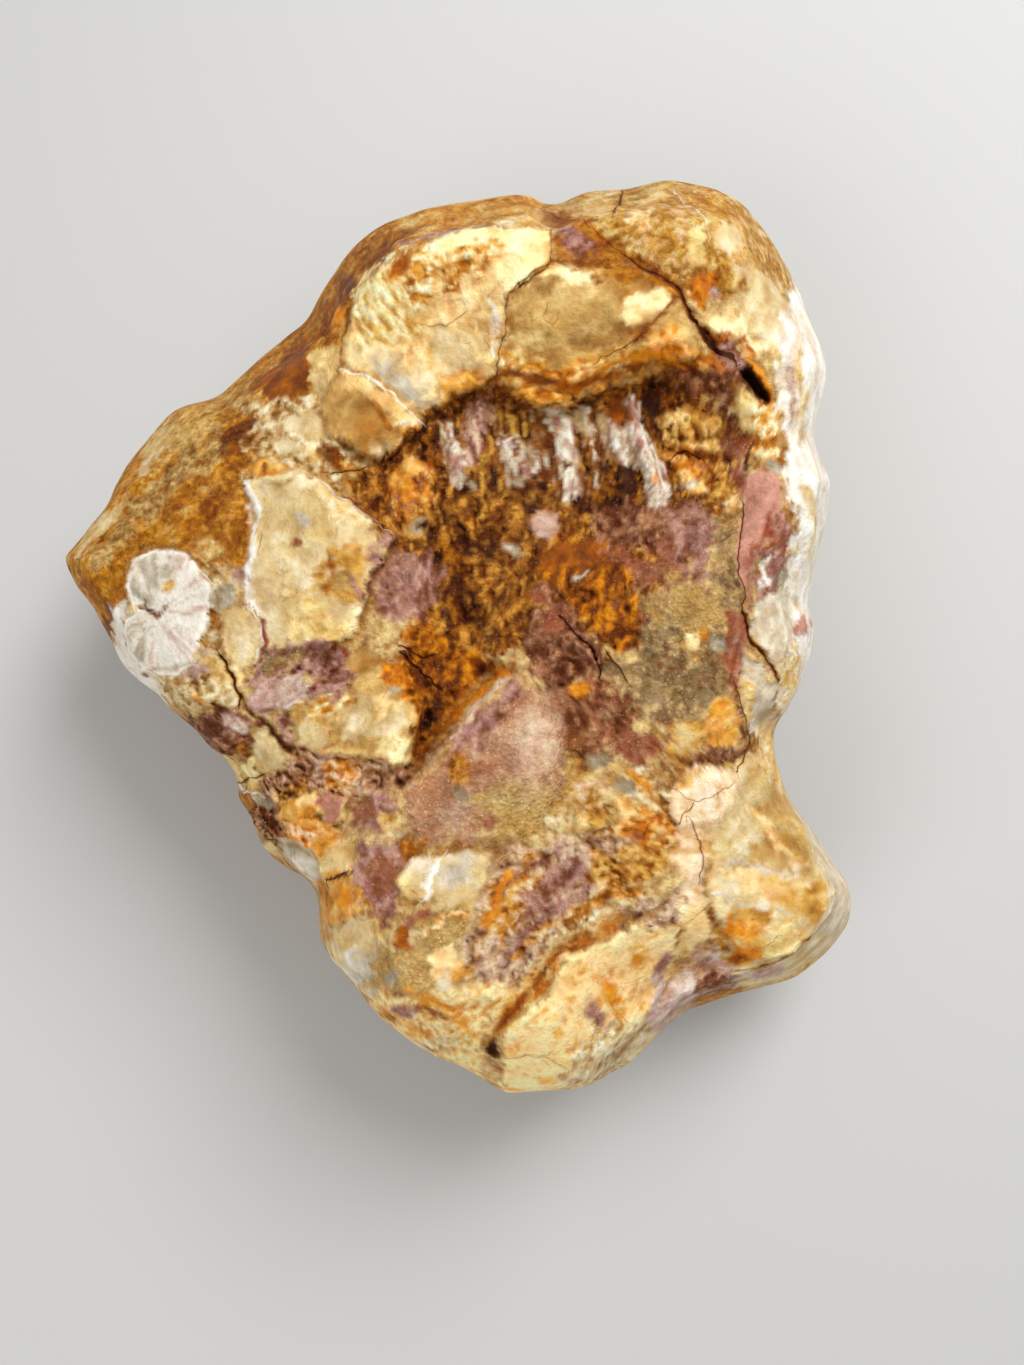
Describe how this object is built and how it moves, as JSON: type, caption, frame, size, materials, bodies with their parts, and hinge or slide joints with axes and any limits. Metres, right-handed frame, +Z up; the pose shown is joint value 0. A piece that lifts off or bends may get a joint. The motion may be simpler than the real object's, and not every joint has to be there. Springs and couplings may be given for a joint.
{
  "type": "chalcedony specimen",
  "caption": "Rough unpolished chalcedony boulder piece with plates, a porous hollow, cracks and lobes, resting on a small flat spot.",
  "frame": {"origin": "middle of the stone's width and length, on the surface it rests on", "axes": "+Z up; +Y towards the end with the long crack, +X towards the white margin"},
  "size_m": [0.1619, 0.191, 0.066],
  "materials": {
    "chalcedony": "unpolished natural stone: waxy cream and tan plates, granular ochre rind, brown porous hollow, purple-brown and brick patches"
  },
  "bodies": {
    "root": {"stone": "chalcedony"}
  },
  "joints": []
}
